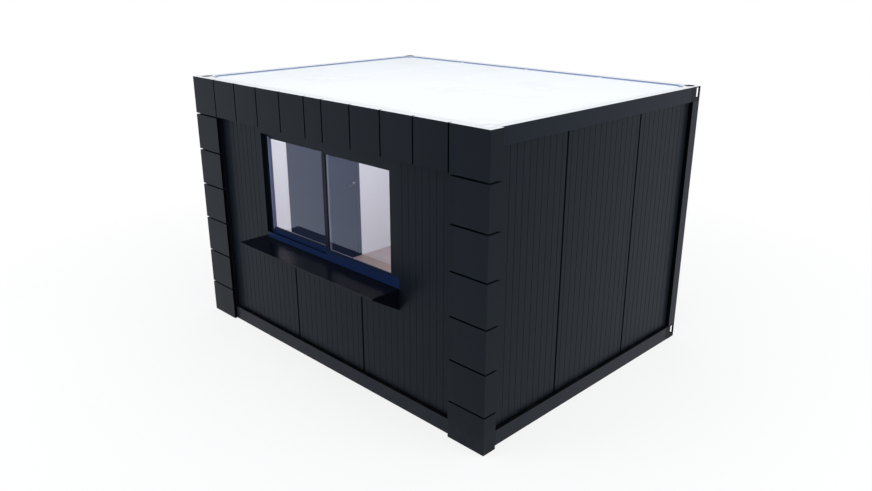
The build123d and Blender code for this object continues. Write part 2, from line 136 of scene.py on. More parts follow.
# One material, or the world, that is being mixed
class Finish:
    def __init__(self, name, owner=None):
        self.material = owner or bpy.data.materials.new(name)
        self.material.use_nodes = True
        self.tree = self.material.node_tree
        self.tree.nodes.clear()

    def node(self, kind, settings=None, sockets=None, output=0):
        made = self.tree.nodes.new(kind)
        for key, value in (settings or {}).items():
            setattr(made, key, value)
        for key, value in (sockets or {}).items():
            if isinstance(value, Wire):
                self.tree.links.new(value.socket, made.inputs[key])
            else:
                made.inputs[key].default_value = value
        return Wire(self, made.outputs[output]) if made.outputs else None

    def place(self):
        return self.node("ShaderNodeTexCoord", output="Object")

    def axes(self, vector):
        x = self.node("ShaderNodeSeparateXYZ", sockets={0: vector})
        return x, x.other("Y"), x.other("Z")

    def vector(self, x, y, z=0.0):
        return self.node("ShaderNodeCombineXYZ", sockets={0: x, 1: y, 2: z})

    def facing(self):  # the way a face looks, by axis
        return self.axes(self.node("ShaderNodeNewGeometry", output="Normal"))

    def stretch(self, vector, factors):
        return self.node("ShaderNodeVectorMath", {"operation": "MULTIPLY"}, {0: vector, 1: factors})

    def noise(self, vector, scale, detail=3.0, rough=0.55):
        sockets = {"Vector": vector, "Scale": scale, "Detail": detail, "Roughness": rough}
        return self.node("ShaderNodeTexNoise", sockets=sockets)

    def step(self, value, low, high):  # 0 below low, 1 above high, smooth between
        sockets = {"Value": value, "From Min": low, "From Max": high}
        return self.node("ShaderNodeMapRange", {"interpolation_type": "SMOOTHSTEP"}, sockets)

    def drop(self, value, low, high):  # 1 below low, 0 above high
        return 1 - self.step(value, low, high)

    def tint(self, mask, under, over):
        return self.node("ShaderNodeMix", {"data_type": "RGBA"}, {0: mask, 6: under, 7: over}, 2)

    def shade(self, colour, factor):  # a colour made lighter or darker by a value
        grey = self.vector(factor, factor, factor)
        settings = {"data_type": "RGBA", "blend_type": "MULTIPLY"}
        return self.node("ShaderNodeMix", settings, {0: 1.0, 6: colour, 7: grey}, 2)

    def bump(self, height, depth, strength=1.0, under=None):
        sockets = {"Height": height, "Distance": depth, "Strength": strength}
        if under:
            sockets["Normal"] = under
        return self.node("ShaderNodeBump", sockets=sockets)

    def surface(self, sockets):
        shader = self.node("ShaderNodeBsdfPrincipled", sockets=sockets)
        self.node("ShaderNodeOutputMaterial", sockets={"Surface": shader})
        return self.material


def setCamera():
    data = bpy.data.cameras.new("photoCamera")
    data.sensor_width = 36.0
    data.lens = viewSettings["lens"]
    camera = bpy.data.objects.new("photoCamera", data)
    camera.location = viewSettings["place"]
    camera.rotation_euler = (
        math.radians(viewSettings["tiltDegrees"]),
        0,
        math.radians(viewSettings["turnDegrees"]),
    )
    bpy.context.collection.objects.link(camera)
    bpy.context.scene.camera = camera
    bpy.context.scene.view_settings.view_transform = "Standard"


# White where the eye sees it, directly, in gloss or through glass
def seenRays(finish):
    path = finish.node("ShaderNodeLightPath", output="Is Camera Ray")
    return path.most(path.other("Is Glossy Ray")).most(path.other("Is Transmission Ray"))


def floorFinish():
    s = stageSettings
    finish = Finish("studioFloor")
    distance = finish.node("ShaderNodeVectorMath", {"operation": "LENGTH"}, {0: finish.place()}, "Value")
    kept = s["shadowKept"] * finish.drop(distance, s["shadowFull"], s["shadowReach"])
    diffuse = finish.node("ShaderNodeBsdfDiffuse", sockets={"Color": s["floorColour"]})
    white = finish.node("ShaderNodeEmission", sockets={"Color": (1, 1, 1, 1), "Strength": 1.0})
    seen = seenRays(finish) * (1 - kept)
    mixed = finish.node("ShaderNodeMixShader", sockets={0: seen, 1: diffuse, 2: white})
    finish.node("ShaderNodeOutputMaterial", sockets={"Surface": mixed})
    return finish.material


def setStage():
    reach, level = stageSettings["reach"], stageSettings["level"]
    mesh = bpy.data.meshes.new("studioFloor")
    spots = [(-reach, -reach), (reach, -reach), (reach, reach), (-reach, reach)]
    mesh.from_pydata([(x, y, level) for x, y in spots], [], [(0, 1, 2, 3)])
    mesh.materials.append(floorFinish())
    floor = bpy.data.objects.new("studioFloor", mesh)
    bpy.context.collection.objects.link(floor)


def setWorld():
    s = stageSettings
    world = bpy.data.worlds.new("studioWorld")
    finish = Finish("studioWorld", world)
    sky = {"Color": s["worldColour"], "Strength": s["worldStrength"]}
    soft = finish.node("ShaderNodeBackground", sockets=sky)
    white = finish.node("ShaderNodeBackground", sockets={"Color": (1, 1, 1, 1), "Strength": 1.0})
    mixed = finish.node("ShaderNodeMixShader", sockets={0: seenRays(finish), 1: soft, 2: white})
    finish.node("ShaderNodeOutputWorld", sockets={"Surface": mixed})
    bpy.context.scene.world = world


def setLamps():
    for name, lamp in stageSettings["lamps"].items():
        data = bpy.data.lights.new(name + "Lamp", "AREA")
        data.shape = "RECTANGLE"
        data.size, data.size_y = lamp["size"]
        data.energy = lamp["watts"]
        holder = bpy.data.objects.new(name + "Lamp", data)
        holder.location = lamp["place"]
        beam = Vector(lamp["aim"]) - Vector(lamp["place"])
        holder.rotation_euler = beam.to_track_quat("-Z", "Y").to_euler()
        holder.visible_camera = False
        holder.visible_glossy = False
        holder.visible_transmission = False
        bpy.context.collection.objects.link(holder)


setCamera()
setStage()
setWorld()
setLamps()
print("camera, floor and lamps set")


# Dark painted steel: frame, walls, door, cladding
paintSettings = {
    "colour": (0.0056, 0.0082, 0.0122, 1),
    "dust": (0.050, 0.047, 0.043, 1),
    # blue-grey painted shade for the beams' inner edges and the castings' sides
    "upstandShade": (0.24, 0.30, 0.47, 1),
    "white": (0.78, 0.785, 0.80, 1),
    "roughness": 0.37,
    "sheenLevel": 0.079,
    "sheenTint": (0.74, 0.86, 1.0, 1),
    "cloudScale": 1.7,
    "grainScale": 42.0,
    "peelScale": 260.0,
    "peelDepth": 0.00012,
    "dentScale": 2.6,
    "dentDepth": 0.0022,
    "streakStretch": (16.0, 16.0, 0.55),
    "streakTone": 0.10,
    "dustScale": 6.0,
    "dustHeight": 0.55,
    "dustAmount": 0.16,
    "whiteDepth": 0.011,
    "beamWidth": 0.0775,
    "upstandFoot": 0.05,
    # painted shade in the recesses: how much darker, and how much rougher
    "recessShade": 0.96,
    "recessRough": 0.6,
}


def roomSideMask(finish, x, y, z):  # 1 on the room side of the walls
    margin, blur = 0.006, 0.002
    inX = finish.step(x, roomLow.x - margin - blur, roomLow.x - margin)
    inX = inX * finish.drop(x, roomHigh.x + margin, roomHigh.x + margin + blur)
    inY = finish.step(y, roomLow.y - margin - blur, roomLow.y - margin)
    return inX * inY * finish.drop(y, roomHigh.y + margin, roomHigh.y + margin + blur)


def doorRoomSide(finish, x, y, z):  # the leaf's inner face is a shade bluer
    return finish.step(x, leafHigh.x - 0.004, leafHigh.x - 0.002)


def topFlangeMask(finish, x, y, z):  # white on top of the frame
    level = frameHigh.z - paintSettings["whiteDepth"]
    return finish.step(z, level - 0.003, level) * finish.step(finish.facing()[2], 0.4, 0.8)


def upstandShadeMask(finish, x, y, z):  # painted shade: the inner edge of the roof beams, round the roof sheet, is blue-grey
    s = paintSettings
    halfX, halfY = frameHigh.x - s["beamWidth"], halfDepth - s["beamWidth"]
    foot = wallHead + s["upstandFoot"]
    within = finish.drop(x.size(), halfX - 0.003, halfX)
    within = within * finish.drop((y - middle).size(), halfY - 0.003, halfY)
    return within * finish.step(z, foot, foot + 0.002) * finish.drop(finish.facing()[2], 0.4, 0.8)


def recessShadeMask(finish, x, y, z):  # painted shade: faces that look across the recess round a wall or a cassette are made dark
    facingX, facingY = finish.facing()[:2]
    skin, blur = 0.004, 0.001
    halfX, halfY = frameHigh.x - skin, halfDepth - skin
    front, wall = claddingFront - middle + skin, rearFace - middle
    across, deep = x.size(), y - middle
    along = deep.size()
    onSide = finish.step(across, rightFace, rightFace + blur) * finish.drop(facingX.size(), 0.4, 0.6)
    onSide = onSide * finish.drop(along, halfY - blur, halfY)
    onEnd = finish.step(along, wall, wall + blur) * finish.drop(facingY.size(), 0.4, 0.6)
    onEnd = onEnd * finish.step(deep, front - blur, front) * finish.drop(deep, halfY - blur, halfY)
    inside = finish.drop(across, halfX - blur, halfX) * finish.drop(z, roofLedge, roofLedge + blur)
    return onSide.most(onEnd) * inside


def steelPaint(name, changes=None, whiteMask=None, tone=None, recess=None, upstandShade=None):
    s = {**paintSettings, **(changes or {})}
    finish = Finish(name)
    place = finish.place()
    x, y, z = finish.axes(place)
    cloud = finish.noise(place, s["cloudScale"], 4.0)
    streak = finish.noise(finish.stretch(place, s["streakStretch"]), 1.0, 3.0)
    grain = finish.noise(place, s["grainScale"], 5.0, 0.7)
    level = 0.86 + 0.16 * cloud + s["streakTone"] * streak + 0.06 * grain
    if tone:
        level = level * tone(finish, x, y, z)
    paintedShade = recess(finish, x, y, z) if recess else 0.0
    # painted shade darkens the faces in the recess
    colour = finish.shade(s["colour"], level * (1 - s["recessShade"] * paintedShade))
    low = finish.drop(z, 0.02, s["dustHeight"])
    patch = finish.noise(place, s["dustScale"], 5.0, 0.65)
    dust = low * low * finish.step(patch, 0.40, 0.72) * s["dustAmount"]
    colour = finish.tint(dust, colour, s["dust"])
    rough = s["roughness"] + 0.10 * (streak - 0.5) + 0.12 * (grain - 0.5) + 0.35 * dust
    rough = rough + s["recessRough"] * paintedShade
    if whiteMask:
        mask = whiteMask(finish, x, y, z)
        white = finish.shade(s["white"], 0.965 + 0.05 * cloud)
        colour = finish.tint(mask, colour, white)
        rough = rough + 0.08 * mask
    # painted shade: blue-grey on the inner edges of the roof beams
    if upstandShade:
        colour = finish.tint(upstandShade(finish, x, y, z), colour, s["upstandShade"])
    peel = finish.noise(place, s["peelScale"], 2.0, 0.5)
    dent = finish.bump(finish.noise(place, s["dentScale"], 1.0), s["dentDepth"], 0.5)
    return finish.surface({
        "Base Color": colour,
        "Roughness": rough,
        "Specular IOR Level": s["sheenLevel"],
        "Specular Tint": s["sheenTint"],
        "Normal": finish.bump(peel, s["peelDepth"], 0.7, dent),
    })


# Every cassette of the cladding has its own slight tone
claddingSettings = {
    "pitch": 0.376,
    "toneShift": 0.16,
}


def cassetteTone(finish, x, y, z):
    s = claddingSettings
    columns = x / s["pitch"]
    rows = (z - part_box("cladding_fascia")[0].z) / s["pitch"]
    column, row = columns.math("ROUND", columns), rows.math("FLOOR", rows)
    cell = {"Vector": finish.vector(column, row)}
    pick = finish.node("ShaderNodeTexWhiteNoise", {"noise_dimensions": "3D"}, cell, "Value")
    return 1 + s["toneShift"] * (pick - 0.5)


# Cast corners: pitted, white on top, with blue-grey painted shade on the sides towards the roof sheet
castingSettings = {
    "size": 0.150,
    "eyeInset": 0.075,
    "eyeRadius": 0.028,
    "eyeStraight": 0.014,
    # painted shade: width of the dark ring round each open eye
    "shadedRim": 0.016,
    "capDepth": 0.003,
    "capLap": 0.0035,
    "colour": (0.0062, 0.0076, 0.0098, 1),
    "worn": (0.020, 0.024, 0.030, 1),
    "specular": 0.12,
}


def eyeRimMask(finish, x, y):  # painted shade: no white is left round the open eyes in the tops, so each eye shows a dark ring
    s = castingSettings
    across = x.size() - (frameHigh.x - s["eyeInset"])
    along = ((y - middle).size() - (halfDepth - s["eyeInset"])).size()
    along = (along - s["eyeStraight"]).most(0.0)
    reach = s["eyeRadius"] + s["shadedRim"]
    rim = finish.drop(across * across + along * along, (reach - 0.003) ** 2, reach ** 2)
    capped = finish.step(x, 0.0, 0.001) * finish.drop(y, middle, middle + 0.001)
    return rim * (1 - capped)


def innerFaceShade(finish, x, y, z, lift):  # painted shade: the castings' sides towards the roof sheet
    inset = castingSettings["size"] - 0.001
    nearX, nearY = frameHigh.x - inset, halfDepth - inset
    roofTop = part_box("roof_sheet")[1].z
    side = finish.drop(x.size(), nearX, nearX + 0.002)
    side = side.most(finish.drop((y - middle).size(), nearY, nearY + 0.002))
    return side * finish.step(z, roofTop - 0.001, roofTop) * finish.drop(lift, 0.4, 0.8)


def castIron():
    s = castingSettings
    finish = Finish("castSteel")
    place = finish.place()
    x, y, z = finish.axes(place)
    cloud = finish.noise(place, 9.0, 5.0, 0.6)
    pores = finish.noise(place, 160.0, 4.0, 0.7)
    colour = finish.shade(s["colour"], 0.75 + 0.5 * cloud)
    colour = finish.tint(finish.step(pores, 0.62, 0.74) * 0.5, colour, s["worn"])
    white = topFlangeMask(finish, x, y, z) * (1 - eyeRimMask(finish, x, y))
    colour = finish.tint(white, colour, finish.shade(paintSettings["white"], 0.9 + 0.1 * cloud))
    # painted shade on the sides towards the roof sheet
    side = innerFaceShade(finish, x, y, z, finish.facing()[2])
    colour = finish.tint(side, colour, paintSettings["upstandShade"])
    return finish.surface({
        "Base Color": colour,
        "Roughness": 0.5 + 0.2 * cloud,
        "Specular IOR Level": s["specular"],
        "Normal": finish.bump(pores, 0.0006, 0.8),
    })


zincSettings = {
    "colour": (0.50, 0.52, 0.54, 1),
    "flowerScale": 70.0,
}


def zincSheet():
    finish = Finish("zincSheet")
    place = finish.place()
    sockets = {"Vector": place, "Scale": zincSettings["flowerScale"]}
    flower = finish.node("ShaderNodeTexVoronoi", sockets=sockets, output="Color")
    grey = finish.node("ShaderNodeSeparateColor", sockets={0: flower})
    cloud = finish.noise(place, 5.0, 4.0)
    return finish.surface({
        "Base Color": finish.shade(zincSettings["colour"], 0.75 + 0.2 * grey + 0.2 * cloud),
        "Metallic": 0.9,
        "Roughness": 0.35 + 0.2 * grey,
        "Normal": finish.bump(cloud, 0.0006, 0.4),
    })


roofSettings = {
    "colour": (0.87, 0.885, 0.91, 1),
    "stain": (0.74, 0.75, 0.76, 1),
    "stainAmount": 0.22,
}


def roofCoating():
    finish = Finish("roofCoating")
    place = finish.place()
    cloud = finish.noise(place, 1.1, 5.0, 0.6)
    speck = finish.noise(place, 90.0, 3.0, 0.6)
    puddle = finish.step(cloud, 0.52, 0.60) * finish.drop(cloud, 0.60, 0.63)
    colour = finish.shade(roofSettings["colour"], 0.97 + 0.05 * speck)
    colour = finish.tint(puddle * roofSettings["stainAmount"], colour, roofSettings["stain"])
    return finish.surface({
        "Base Color": colour,
        "Roughness": 0.55 + 0.2 * speck,
        "Specular IOR Level": 0.35,
        "Normal": finish.bump(cloud + 0.05 * speck, 0.004, 0.5),
    })


plankSettings = {
    "width": 0.185,
    "length": 1.22,
    "pale": (0.43, 0.335, 0.305, 1),
    "deep": (0.30, 0.225, 0.205, 1),
    "joint": (0.12, 0.085, 0.075, 1),
    "roughness": 0.36,
}


def plankFloor():
    s = plankSettings
    finish = Finish("plankFloor")
    place = finish.place()
    x, y = finish.axes(place)[:2]
    bricks = finish.node(
        "ShaderNodeTexBrick",
        {"offset": 0.37, "offset_frequency": 2},
        {
            "Vector": finish.vector(x, y),
            "Color1": (0.1, 0.1, 0.1, 1),
            "Color2": (0.9, 0.9, 0.9, 1),
            "Mortar": (0.5, 0.5, 0.5, 1),
            "Scale": 1.0,
            "Mortar Size": 0.0016,
            "Mortar Smooth": 0.3,
            "Brick Width": s["length"],
            "Row Height": s["width"],
        },
    )
    board = finish.node("ShaderNodeSeparateColor", sockets={0: bricks})
    shifted = finish.node(
        "ShaderNodeVectorMath",
        {"operation": "ADD"},
        {0: place, 1: finish.vector(board * 7, board * 3)},
    )
    grain = finish.noise(finish.stretch(shifted, (3.0, 60.0, 1.0)), 1.0, 6.0, 0.65)
    rings = finish.noise(finish.stretch(shifted, (1.2, 14.0, 1.0)), 1.0, 2.0)
    mask = (0.55 * grain + 0.3 * rings + 0.25 * board).least(1.0)
    colour = finish.tint(mask, s["deep"], s["pale"])
    colour = finish.tint(bricks.other("Fac"), colour, s["joint"])
    return finish.surface({
        "Base Color": colour,
        "Roughness": s["roughness"] + 0.18 * grain,
        "Specular IOR Level": 0.4,
        "Normal": finish.bump(0.15 * grain - bricks.other("Fac"), 0.0009, 0.6),
    })


plySettings = {
    "deep": (0.30, 0.19, 0.10, 1),
    "pale": (0.62, 0.46, 0.28, 1),
    "layers": 90.0,
}


def plyBoard():
    finish = Finish("plyBoard")
    place = finish.place()
    grain = finish.noise(finish.stretch(place, (2.0, 40.0, 40.0)), 1.0, 5.0, 0.6)
    layers = finish.node(
        "ShaderNodeTexWave",
        {"bands_direction": "Z"},
        {"Vector": place, "Scale": plySettings["layers"], "Distortion": 0.6},
        "Fac",
    )
    colour = finish.tint(0.6 * grain + 0.3 * layers, plySettings["deep"], plySettings["pale"])
    return finish.surface({
        "Base Color": colour,
        "Roughness": 0.6 + 0.2 * grain,
        "Normal": finish.bump(grain, 0.0005, 0.5),
    })


boardSettings = {
    "colour": (0.80, 0.805, 0.815, 1),
    "seam": (0.6, 0.6, 0.61, 1),
    "trim": (0.79, 0.795, 0.81, 1),
    "pitch": 0.6,
    "specular": 0.35,
}


def whiteBoard():
    s = boardSettings
    finish = Finish("whiteBoard")
    place = finish.place()
    columns = finish.axes(place)[0] / s["pitch"]
    cloud = finish.noise(place, 2.2, 4.0)
    fine = finish.noise(place, 300.0, 3.0, 0.6)
    seam = finish.drop((columns.math("FRACT", columns) - 0.5).size(), 0.0, 0.004)
    return finish.surface({
        "Base Color": finish.tint(seam, finish.shade(s["colour"], 0.97 + 0.05 * cloud), s["seam"]),
        "Roughness": 0.5 + 0.15 * fine,
        "Specular IOR Level": s["specular"],
        "Normal": finish.bump(0.3 * fine - seam, 0.0008, 0.5),
    })


windowSettings = {
    "profile": (0.0052, 0.0078, 0.0118, 1),
    # painted light: a blue glow on the lower frame, above the glossy counter
    "sillPaintedGlow": (0.0062, 0.0165, 0.0600, 1),
    "glowFoot": 0.04,
    "glowReach": 0.10,
    "glowStart": 0.090,
    # painted reflections on the inner interlock: pale, with a blue line
    "interlock": (0.008, 0.016),
    "interlockPaleReflection": (0.058, 0.066, 0.110, 1),
    "interlockBlueReflection": (0.030, 0.040, 0.080, 1),
    "roomSide": (0.20, 0.215, 0.32, 1),
    "roughness": 0.36,
    "specular": 0.092,
    "pane": (0.875, 0.888, 0.985, 1),
    "glassTint": (0.52, 0.64, 1.0, 1),
    "glassIor": 1.435,
    "frameFace": 0.053,
    "sashLap": 0.012,
    "stile": 0.067,
    "meetingStile": 0.050,
    "rail": 0.058,
    "glassFront": 0.008,
    "glassBack": 0.014,
    "gasket": (0.006, 0.006, 0.007, 1),
    "paleGasket": (0.18, 0.19, 0.28, 1),
    "gasketWidth": 0.007,
    "gasketRise": 0.004,
    "railWidth": 0.009,
    "railHeight": 0.008,
    # painted light: the grip's lilac stands for the lit reveal beside the left pane
    "grip": (0.165, 0.185, 0.32, 1),
    "gripLip": 0.009,
    "gripRise": 0.006,
    "gripInset": 0.045,
}


def windowProfile(name, backFrom, sideFrom=9.0):  # the room side is pale, right-facing reveals take it further forward as painted light, and the inner interlock has painted reflections
    s = windowSettings
    finish = Finish(name)
    place = finish.place()
    x, y, z = finish.axes(place)
    foil = finish.noise(finish.stretch(place, (40.0, 40.0, 900.0)), 1.0, 3.0, 0.6)
    cloud = finish.noise(place, 5.0, 3.0)
    reveal = finish.step(finish.facing()[0], 0.5, 0.8)
    side = finish.step(x, sideFrom, sideFrom + 0.0006)
    # painted reflection: a blue line on the pale inner interlock
    start, end = (backFrom + reach for reach in s["interlock"])
    blueReflectionLine = finish.step(y, start, start + 0.0008) * finish.drop(y, end, end + 0.0008)
    # painted light: faces that look to +x take the pale room-side colour 6 mm further forward
    pale = finish.step(y + 0.006 * reveal, backFrom, backFrom + 0.0006)
    # painted light: the counter's blue glow on the lower part of the frame
    foot, glowX = windowLow.z + s["glowFoot"], windowLow.x + s["glowStart"]
    low = finish.drop(z, foot, foot + s["glowReach"]) * finish.step(x, glowX - 0.03, glowX)
    dark = finish.shade(finish.tint(low, s["profile"], s["sillPaintedGlow"]), 0.85 + 0.2 * foil + 0.15 * cloud)
    colour = finish.tint(pale, dark, finish.shade(s["roomSide"], 0.95 + 0.06 * cloud))
    colour = finish.tint(side, colour, finish.tint(blueReflectionLine, s["interlockPaleReflection"], s["interlockBlueReflection"]))
    return finish.surface({
        "Base Color": colour,
        "Roughness": s["roughness"] + 0.1 * foil + paintSettings["recessRough"] * reveal,
        "Specular IOR Level": s["specular"],
        "Specular Tint": paintSettings["sheenTint"],
        "Normal": finish.bump(foil, 0.00008, 0.6),
    })


def paneGlass():
    s = windowSettings
    finish = Finish("paneGlass")
    place = finish.place()
    smudge = finish.noise(place, 3.5, 5.0, 0.65)
    wave = finish.noise(place, 1.3, 1.0)
    return finish.surface({
        "Base Color": s["pane"],
        "Roughness": 0.012 * finish.step(smudge, 0.45, 0.75),
        "IOR": s["glassIor"],
        "Specular Tint": s["glassTint"],
        "Transmission Weight": 1.0,
        "Normal": finish.bump(wave, 0.0004, 0.4),
    })


def rubberLike(name, colour, specular):  # rubber, the blue-grey strip of painted shade on the roof, and dark fittings
    finish = Finish(name)
    place = finish.place()
    fine = finish.noise(place, 420.0, 3.0, 0.6)
    cloud = finish.noise(place, 7.0, 3.0)
    return finish.surface({
        "Base Color": finish.shade(colour, 0.7 + 0.6 * cloud),
        "Roughness": 0.62 + 0.2 * fine,
        "Specular IOR Level": specular,
        "Normal": finish.bump(fine, 0.0002, 0.6),
    })


shelfSettings = {
    "colour": (0.0032, 0.0042, 0.0080, 1),
    # painted highlight along the front edge
    "edge": (0.016, 0.018, 0.022, 1),
    "roughness": 0.20,
    "scratches": 0.03,
    "specular": 0.052,
    "tint": (0.80, 0.84, 1.0, 1),
}


def glossySheet():
    s = shelfSettings
    finish = Finish("glossySheet")
    place = finish.place()
    y = finish.axes(place)[1]
    scratch = finish.noise(finish.stretch(place, (6.0, 260.0, 260.0)), 1.0, 4.0, 0.7)
    dust = finish.noise(place, 9.0, 5.0, 0.7)
    # painted highlight: a lighter band along the front edge
    edge = finish.drop(y, shelfLow.y + 0.0008, shelfLow.y + 0.0024)
    rough = s["roughness"] + s["scratches"] * scratch + 0.08 * finish.step(dust, 0.5, 0.8)
    return finish.surface({
        "Base Color": finish.tint(edge * 0.8, finish.shade(s["colour"], 0.8 + 0.5 * dust), s["edge"]),
        "Roughness": rough + 0.2 * edge,
        "Specular IOR Level": s["specular"],
        "Specular Tint": s["tint"],
        "Normal": finish.bump(finish.noise(place, 3.2, 1.0), 0.0006, 0.4),
    })


def trimPlastic():
    finish = Finish("trimPlastic")
    place = finish.place()
    cloud = finish.noise(place, 4.0, 3.0)
    fine = finish.noise(place, 350.0, 3.0, 0.6)
    return finish.surface({
        "Base Color": finish.shade(boardSettings["trim"], 0.96 + 0.05 * cloud),
        "Roughness": 0.36 + 0.12 * fine,
        "Specular IOR Level": 0.4,
        "Normal": finish.bump(fine, 0.0001, 0.5),
    })


handleSettings = {
    "bright": (0.62, 0.62, 0.64, 1),
    "dark": (0.012, 0.013, 0.016, 1),
    "roseDepth": 0.0305,
    "roseInset": 0.024,
    "boreRadius": 0.01844,
}


def leverFinish():  # bright roses, dark levers
    s = handleSettings
    finish = Finish("leverFinish")
    place = finish.place()
    x, y, z = finish.axes(place)
    low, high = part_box("door_handle")
    deep = (x - (leafLow.x + leafHigh.x) / 2).size()
    along, up = y - (high.y - s["roseInset"]), z - (low.z + high.z) / 2
    bore = s["boreRadius"] ** 2
    dark = finish.step(deep, s["roseDepth"], s["roseDepth"] + 0.0005)
    dark = dark.most(finish.step(along * along + up * up, bore, bore + 0.00006))
    brush = finish.noise(finish.stretch(place, (900.0, 60.0, 900.0)), 1.0, 4.0, 0.6)
    return finish.surface({
        "Base Color": finish.tint(dark, finish.shade(s["bright"], 0.85 + 0.2 * brush), s["dark"]),
        "Metallic": 1 - dark,
        "Roughness": 0.26 + 0.14 * brush + 0.06 * dark,
        "Normal": finish.bump(brush, 0.00006, 0.5),
    })


frameSteel = steelPaint(
    "frameSteel",
    {"colour": (0.0105, 0.0132, 0.019, 1), "roughness": 0.36},
    recess=recessShadeMask,
)
# painted shade: the roof beams take a darker copy of the frame's paint
roofSteel = steelPaint(
    "roofSteel",
    {"colour": (0.0066, 0.0094, 0.0155, 1), "roughness": 0.36},
    topFlangeMask,
    upstandShade=upstandShadeMask,
)
wallSheet = steelPaint("wallSheet", whiteMask=roomSideMask)
doorPaint = steelPaint(
    "doorPaint",
    {
        "white": (0.0062, 0.0122, 0.0370, 1),
        "sheenLevel": 0.030,
        "streakTone": 0.06,
        "peelDepth": 0.00004,
    },
    doorRoomSide,
)
railPaint = steelPaint("railPaint", {"colour": (0.004, 0.0055, 0.008, 1), "roughness": 0.5})
claddingSheet = steelPaint("claddingSheet", {"roughness": 0.40}, topFlangeMask, cassetteTone, recessShadeMask)
castSteel = castIron()
zinc = zincSheet()
roofWhite = roofCoating()
planks = plankFloor()
ply = plyBoard()
boardWhite = whiteBoard()
rubber = rubberLike("blackRubber", windowSettings["gasket"], 0.25)
paleRubber = rubberLike("paleRubber", windowSettings["paleGasket"], 0.1)
jointBlack = rubberLike("jointBlack", (0.0016, 0.0017, 0.0020, 1), 0.01)
# painted shade: the blue-grey strip along the roof edges
roofShadeStrip = rubberLike("roofShadeStrip", (0.27, 0.335, 0.51, 1), 0.1)
darkMetal = rubberLike("darkMetal", handleSettings["dark"], 0.4)
# painted light: the grip's lilac stands for the lit reveal
gripPaint = rubberLike("gripPaint", windowSettings["grip"], 0.1)
glass = paneGlass()
gloss = glossySheet()
trimWhite = trimPlastic()
handleFinish = leverFinish()
outerSash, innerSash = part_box("window_sash_right"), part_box("window_sash_left")
profileFrame = windowProfile("profileFrame", innerSash[1].y)
profileOuter = windowProfile("profileOuter", outerSash[0].y + windowSettings["glassBack"])
profileInner = windowProfile("profileInner", innerSash[0].y + windowSettings["glassBack"], 0.0015)
print("materials mixed:", len(bpy.data.materials))

nodeFinishes = {  # by a part of a node's name, the longest that fits
    "base_beam": frameSteel,
    "roof_beam": roofSteel,
    "corner_posts": frameSteel,
    "corner_castings": castSteel,
    "floor_joists": zinc,
    "floor_pan": zinc,
    "floor_deck": ply,
    "floor_covering": planks,
    "ceiling_board": boardWhite,
    "roof_joists": zinc,
    "roof_sheet": roofWhite,
    "_wall_": wallSheet,
    "window_frame": profileFrame,
    "window_sash_right": profileOuter,
    "window_sash_left": profileInner,
    "window_glass": glass,
    "counter_shelf": gloss,
    "door": doorPaint,
    "door_handle": handleFinish,
    "cladding": claddingSheet,
    "cladding_rails": railPaint,
}

# Rounded edges of the solids, in metres
edgeSettings = {
    "base_beam": 0.004,
    "roof_beam": 0.004,
    "corner_posts": 0.003,
    "corner_castings": 0.004,
    "_wall_": 0.0006,
    "window_frame": 0.0012,
    "window_sash": 0.0012,
    "counter_shelf": 0.0008,
    "door_frame": 0.0012,
    "door_leaf": 0.0015,
    "cladding": 0.0012,
}


def byName(table, name):
    found = [key for key in table if key in name]
    return table[max(found, key=len)] if found else None


def addBevel(item, width, degrees):
    bevel = item.modifiers.new("bevel", "BEVEL")
    bevel.width = width
    bevel.segments = 2
    bevel.limit_method = "ANGLE"
    bevel.angle_limit = math.radians(degrees)
    bevel.harden_normals = True


def dressNodes():
    for name, item in nodes.items():
        item.data.materials.clear()
        item.data.materials.append(byName(nodeFinishes, name))
        width = byName(edgeSettings, name)
        if width:
            weld = item.modifiers.new("weld", "WELD")
            weld.merge_threshold = 0.00005
            addBevel(item, width, 40)


dressNodes()
print("nodes dressed")


# Mesh code shared by the pieces
sharpDegrees = 35


def addBlock(bm, low, high):
    xs, ys, zs = ((low[i], high[i]) for i in range(3))
    v = [bm.verts.new((x, y, z)) for x in xs for y in ys for z in zs]
    for face in ((0, 1, 3, 2), (4, 6, 7, 5), (0, 4, 5, 1), (2, 3, 7, 6), (0, 2, 6, 4), (1, 5, 7, 3)):
        bm.faces.new([v[i] for i in face])


def joinRings(bm, a, b):  # the faces between two rings of points
    for k in range(len(a)):
        after = (k + 1) % len(a)
        bm.faces.new((a[k], a[after], b[after], b[k]))


def addRun(bm, path, up, section, closed=True):  # a section swept round flat corners
    points = [Vector(p) for p in path]
    up = Vector(up).normalized()
    count = len(points)
    rings = []
    for i, point in enumerate(points):
        before = (point - points[i - 1]).normalized() if closed or i > 0 else None
        after = (points[(i + 1) % count] - point).normalized() if closed or i < count - 1 else None
        before = before or after
        after = after or before
        side = (before.cross(up) + after.cross(up)).normalized()
        side = side / max(side.dot(before.cross(up)), 0.2)
        rings.append([bm.verts.new(point + side * s + up * u) for s, u in section])
    for i in range(count if closed else count - 1):
        joinRings(bm, rings[i], rings[(i + 1) % count])
    if not closed:
        bm.faces.new(rings[0])
        bm.faces.new(list(reversed(rings[-1])))


def addTurned(bm, profile, place, axis, steps):  # radius and height pairs, spun round the axis
    turn = Vector((0, 0, 1)).rotation_difference(Vector(axis)).to_matrix()
    angles = [2 * math.pi * k / steps for k in range(steps)]
    rings = []
    for radius, height in profile:
        spots = [Vector((radius * math.cos(a), radius * math.sin(a), height)) for a in angles]
        rings.append([bm.verts.new(Vector(place) + turn @ spot) for spot in spots])
    for a, b in zip(rings, rings[1:]):
        joinRings(bm, a, b)
    bm.faces.new(list(reversed(rings[0])))
    bm.faces.new(rings[-1])


